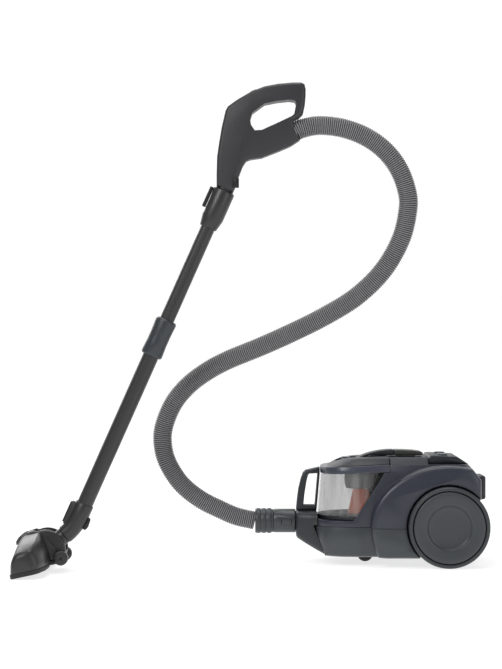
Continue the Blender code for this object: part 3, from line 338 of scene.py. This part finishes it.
LOOKS = {
    "navy_shell": moulded("navy_shell", (0.023, 0.026, 0.040), 0.36, 0.00003),
    "gunmetal_shell": moulded("gunmetal_shell", (0.043, 0.049, 0.055), 0.34, 0.00003),
    "nose_grey": moulded("nose_grey", (0.015, 0.018, 0.022), 0.42),
    "panel_dark": moulded("panel_dark", (0.010, 0.012, 0.017), 0.46),
    "band_blue_grey": moulded("band_blue_grey", (0.046, 0.051, 0.070), 0.30, 0.00002),
    "block_dark": moulded("block_dark", (0.012, 0.011, 0.018), 0.42),
    "clear_cup": clear_look("clear_cup"),
    "terracotta": terracotta_look("terracotta", (0.64, 0.150, 0.072)),
    "soft_grey": moulded("soft_grey", (0.22, 0.22, 0.23), 0.42),
    "olive_grey": moulded("olive_grey", (0.032, 0.036, 0.031), 0.34, 0.00002),
    "wheel_rim": moulded("wheel_rim", (0.030, 0.035, 0.038), 0.44),
    "wheel_face": moulded("wheel_face", (0.036, 0.041, 0.046), 0.42),
    "rubber": rubbery("rubber", (0.014, 0.014, 0.015), 0.66),
    "steel": metal("steel", (0.55, 0.55, 0.57)),
    "foam": foam_look("foam", (0.10, 0.10, 0.12)),
    "hose_grey": hose_look("hose_grey"),
    "cuff_grey": moulded("cuff_grey", (0.034, 0.039, 0.043), 0.36, 0.00003),
    "button_black": moulded("button_black", (0.004, 0.004, 0.004), 0.45),
    "grip_grey": moulded("grip_grey", (0.021, 0.020, 0.023), 0.46, 0.00009, 1600),
    "wand_grey": moulded("wand_grey", (0.021, 0.0205, 0.021), 0.38, 0.00003),
    "collar_blue": moulded("collar_blue", (0.026, 0.031, 0.038), 0.36, 0.00003),
    "sole_dark": moulded("sole_dark", (0.010, 0.010, 0.011), 0.55),
}


OWN_LOOKS = {
    "cyclone_cage": moulded("cage_grey", (0.36, 0.37, 0.36), 0.45),
    "nozzle_axle": LOOKS["sole_dark"],
    "nozzle_wheel_left": LOOKS["wand_grey"],
    "nozzle_wheel_right": LOOKS["wand_grey"],
}


# ---------------------------------------------------------------- stage


def make_camera():
    lens = bpy.data.cameras.new("camera")
    lens.sensor_width = 36
    lens.lens = 98.17
    camera = bpy.data.objects.new("camera", lens)
    camera.location = (-0.0105, CANISTER_Y - 3.74, 0.4643)
    camera.rotation_euler = (math.pi / 2, 0, 0)
    bpy.context.scene.collection.objects.link(camera)
    bpy.context.scene.camera = camera


def make_light(name, place, target, size, power, tint=(1, 1, 1)):
    light = bpy.data.lights.new(name, "AREA")
    light.shape = "RECTANGLE"
    light.size, light.size_y = size
    light.energy = power
    light.color = tint
    lamp = bpy.data.objects.new(name, light)
    lamp.location = place
    lamp.rotation_euler = (Vector(target) - Vector(place)).to_track_quat("-Z", "Y").to_euler()
    bpy.context.scene.collection.objects.link(lamp)


def make_stage():
    """A pale floor that curves up into a backdrop, under soft lights."""
    floor_z = -0.0004
    profile = [(-9.0, floor_z), (4.5, floor_z)]
    profile += [
        (4.5 + 1.5 * math.sin(a), floor_z + 1.5 * (1 - math.cos(a)))
        for a in (math.pi / 2 * i / 16 for i in range(1, 17))
    ]
    profile += [(6.0, 7.0)]
    bm = bmesh.new()
    verts = [bm.verts.new((-9.0, y, z)) for y, z in profile]
    edges = [bm.edges.new(pair) for pair in zip(verts, verts[1:])]
    swept = bmesh.ops.extrude_edge_only(bm, edges=edges)
    moved = [item for item in swept["geom"] if isinstance(item, bmesh.types.BMVert)]
    bmesh.ops.translate(bm, verts=moved, vec=(18.0, 0, 0))
    bmesh.ops.recalc_face_normals(bm, faces=bm.faces)
    mesh = bpy.data.meshes.new("backdrop")
    bm.to_mesh(mesh)
    bm.free()
    mesh.shade_smooth()
    backdrop = bpy.data.objects.new("backdrop", mesh)
    bpy.context.scene.collection.objects.link(backdrop)
    paper = Look("paper", Roughness=0.9)
    paper.set(Base_Color=(0.45, 0.45, 0.45), Emission_Color=(1.0, 1.0, 1.0))
    paper.set(Emission_Strength=0.74, Specular_IOR_Level=0.0)
    mesh.materials.append(paper.material)

    middle_of_object = (0.0, 0.0, 0.45)
    make_light("key", (-1.9, -2.6, 2.5), middle_of_object, (1.3, 1.6), 62)
    make_light("fill", (2.6, -2.4, 1.2), middle_of_object, (1.2, 2.0), 20)
    make_light("top", (0.1, 0.1, 3.1), middle_of_object, (2.2, 1.6), 42)
    make_light("rim", (-1.2, 2.4, 1.8), middle_of_object, (1.6, 1.6), 22)
    world = bpy.data.worlds.new("world")
    world.use_nodes = True
    world.node_tree.nodes["Background"].inputs["Color"].default_value = (1, 1, 1, 1)
    # The sky beyond the floor looks white, and lights the object softly
    light_path = world.node_tree.nodes.new("ShaderNodeLightPath")
    glow = world.node_tree.nodes.new("ShaderNodeMapRange")
    glow.inputs["To Min"].default_value = 0.28
    glow.inputs["To Max"].default_value = 1.0
    world.node_tree.links.new(light_path.outputs["Is Camera Ray"], glow.inputs["Value"])
    background = world.node_tree.nodes["Background"]
    world.node_tree.links.new(glow.outputs["Result"], background.inputs["Strength"])
    bpy.context.scene.world = world
    bpy.context.scene.view_settings.view_transform = "Standard"


# ---------------------------------------------------------------- pieces


def finish_of(node):
    """The finish that a CAD node is given: its slot's, or one of its own."""
    return OWN_LOOKS.get(node) or LOOKS[SLOT[node]]


def keep(name, bm, slot, body, replaces=(), sharp=34):
    """A finished piece: its place is in its mesh, and it rides on a CAD body."""
    mesh = bpy.data.meshes.new(name)
    bm.to_mesh(mesh)
    bm.free()
    mesh.shade_smooth()
    mesh.set_sharp_from_angle(angle=math.radians(sharp))
    piece = bpy.data.objects.new(name, mesh)
    bpy.context.scene.collection.objects.link(piece)
    look = finish_of(replaces[0]) if replaces else LOOKS[slot]
    mesh.materials.append(look.material)
    if body:
        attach(piece, body)
    if replaces:
        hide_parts(*replaces)
    return piece


def joined_copy(node):
    """A CAD node's shape as whole faces, with its loose triangles joined up."""
    bm = bmesh.new()
    bm.from_mesh(frame["nodes"][node].data)
    bmesh.ops.remove_doubles(bm, verts=bm.verts, dist=3e-6)
    bmesh.ops.dissolve_limit(bm, angle_limit=FLAT, verts=bm.verts, edges=bm.edges)
    return bm


def is_sound(bm, volume):
    closed = all(len(edge.link_faces) == 2 for edge in bm.edges)
    return closed and abs(bm.calc_volume() - volume) < 0.02 * volume


def rounded(node, width, segments=2, angle=32):
    """Stands for a CAD node with its sharp edges rounded as far as its shape allows."""
    source = joined_copy(node)
    volume = source.calc_volume()
    low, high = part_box(node)
    slack = Vector((2e-4, 2e-4, 2e-4))
    for share in (1.0, 0.6, 0.35, 0.2):
        trial = source.copy()
        edges = [
            edge for edge in trial.edges
            if len(edge.link_faces) == 2 and edge.calc_face_angle(0) > math.radians(angle)
        ]
        bmesh.ops.bevel(
            trial, geom=edges, offset=width * share, offset_type="OFFSET", segments=segments,
            profile=0.5, affect="EDGES", clamp_overlap=False, material=-1, loop_slide=True,
        )
        inside = all(
            all(low[i] - slack[i] <= vert.co[i] <= high[i] + slack[i] for i in range(3))
            for vert in trial.verts
        )
        if is_sound(trial, volume) and inside:
            source.free()
            return keep(node + "_skin", trial, SLOT[node], BODY[node], [node])
        trial.free()
    return keep(node + "_skin", source, SLOT[node], BODY[node], [node])


def smooth_route(points, count):
    """Evenly spaced points on a Catmull-Rom curve through the route."""
    knots = [Vector(p) for p in points]
    knots = [2 * knots[0] - knots[1]] + knots + [2 * knots[-1] - knots[-2]]
    fine = []
    for a, b, c, d in zip(knots, knots[1:], knots[2:], knots[3:]):
        for i in range(20):
            t = i / 20
            bend = (2 * a - 5 * b + 4 * c - d) * t**2 + (3 * b - a - 3 * c + d) * t**3
            fine.append(0.5 * (2 * b + (c - a) * t + bend))
    fine.append(knots[-2])
    reach = [0.0]
    for a, b in zip(fine, fine[1:]):
        reach.append(reach[-1] + (b - a).length)
    even, j = [], 0
    for i in range(count):
        want = reach[-1] * i / (count - 1)
        while j < len(reach) - 2 and reach[j + 1] < want:
            j += 1
        share = (want - reach[j]) / (reach[j + 1] - reach[j])
        even.append(fine[j].lerp(fine[j + 1], min(1.0, share)))
    return even


def make_hose():
    """A corrugated tube: round ribs a few millimetres apart along one smooth line."""
    start = SOCKET - SOCKET_DEPTH * SOCKET_OUT
    route = [start] + HOSE_ROUTE[:-1] + [FERRULE]
    rough = smooth_route(route, 400)
    length = sum((b - a).length for a, b in zip(rough, rough[1:]))
    ribs = round(length / RIB_PITCH)
    line = smooth_route(route, ribs * RIB_STEPS + 1)
    bm = bmesh.new()
    # crest is 1 on the ribs and 0 in the folds; the hose's look paints shade into the folds with
    # it.
    crest_layer = bm.verts.layers.float.new("crest")
    across = Vector((0, 1, 0))
    rings = []
    for i, point in enumerate(line):
        along = (line[min(i + 1, len(line) - 1)] - line[max(i - 1, 0)]).normalized()
        across = (across - across.dot(along) * along).normalized()
        up = along.cross(across)
        phase = (i % RIB_STEPS) / RIB_STEPS
        crest = max(0.0, math.sin(math.pi * min(1.0, phase * 1.25))) ** 0.6
        radius = HOSE_R - RIB_DEPTH * (1 - crest)
        ring = []
        for k in range(HOSE_SIDES):
            angle = math.tau * k / HOSE_SIDES
            vert = bm.verts.new(point + radius * (math.cos(angle) * across + math.sin(angle) * up))
            vert[crest_layer] = crest
            ring.append(vert)
        rings.append(ring)
    for low, high in zip(rings, rings[1:]):
        for k in range(HOSE_SIDES):
            bm.faces.new((low[k], low[(k + 1) % HOSE_SIDES], high[(k + 1) % HOSE_SIDES], high[k]))
    bm.faces.new(rings[0])
    bm.faces.new(rings[-1])
    bmesh.ops.recalc_face_normals(bm, faces=bm.faces)
    hose = keep("corrugated_hose", bm, "hose_grey", None, ["hose"], sharp=80)
    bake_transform(hose)
    return hose


def spun(profile, hub, side, closed=False):
    """A shape turned about the wheels' axis from (radius, distance outwards) points."""
    bm = bmesh.new()
    verts = [bm.verts.new(hub + Vector((radius, side * out, 0))) for radius, out in profile]
    edges = [bm.edges.new(pair) for pair in zip(verts, verts[1:])]
    if closed:
        edges.append(bm.edges.new((verts[-1], verts[0])))
    bmesh.ops.spin(
        bm, geom=verts + edges, cent=hub, axis=(0, 1, 0), angle=math.tau, steps=WHEEL_STEPS,
        use_merge=True, use_duplicate=False,
    )
    bmesh.ops.remove_doubles(bm, verts=bm.verts, dist=1e-6)
    bmesh.ops.recalc_face_normals(bm, faces=bm.faces)
    return bm


def make_wheel(name, side):
    """A rear wheel: a rounded tread ring, a groove, and a disc with a shallow dish."""
    low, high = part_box("wheel_tread_" + name)
    hub = Vector(((low.x + high.x) / 2, high.y if side < 0 else low.y, (low.z + high.z) / 2))
    for kind, profile in (("tread", TREAD), ("disc", DISC)):
        node = f"wheel_{kind}_{name}"
        bm = spun(profile, hub, side, closed=kind == "tread")
        keep(node + "_skin", bm, SLOT[node], BODY[node], [node], sharp=50)


make_camera()
make_hose()
make_stage()
make_wheel("left", -1)
make_wheel("right", 1)

ROUNDING = {
    "upper_shell": 0.0012, "lower_shell": 0.0010, "nose_housing": 0.0012, "rear_bumper": 0.0008,
    "control_deck": 0.0008, "rear_top_panel": 0.0014, "bin_lid_band": 0.0012, "bin_lid_top": 0.0014,
    "lid_arch": 0.0016, "bin_handle": 0.0008, "carry_handle": 0.0010, "hose_ferrule": 0.0006,
    "hose_cuff": 0.0008, "grip_left": 0.0014, "grip_right": 0.0014, "wand_socket": 0.0008,
    "slide_collar": 0.0010, "elbow": 0.0008, "knuckle": 0.0012, "nozzle_cover": 0.0014,
    "nozzle_sole": 0.0008, "brush_pedal": 0.0012,
    "wand_lock_button": 0.0012, "elbow_lock_button": 0.0012, "park_hook": 0.0008,
    "accessory_clip": 0.0008, "cuff_latch_left": 0.0004, "cuff_latch_right": 0.0004,
    "exhaust_cover": 0.0004, "bin_base": 0.0008, "cyclone_cone": 0.0008, "cyclone_cage": 0.0010,
    "nozzle_wheel_left": 0.0008, "nozzle_wheel_right": 0.0008, "caster_fork": 0.0005,
    "caster_wheel": 0.0010, "power_button": 0.0005, "rewind_button": 0.0005,
}
for node, width in ROUNDING.items():
    rounded(node, width)
for node, piece in frame["nodes"].items():
    if not piece.hide_render:
        piece.data.materials.clear()
        piece.data.materials.append(finish_of(node).material)
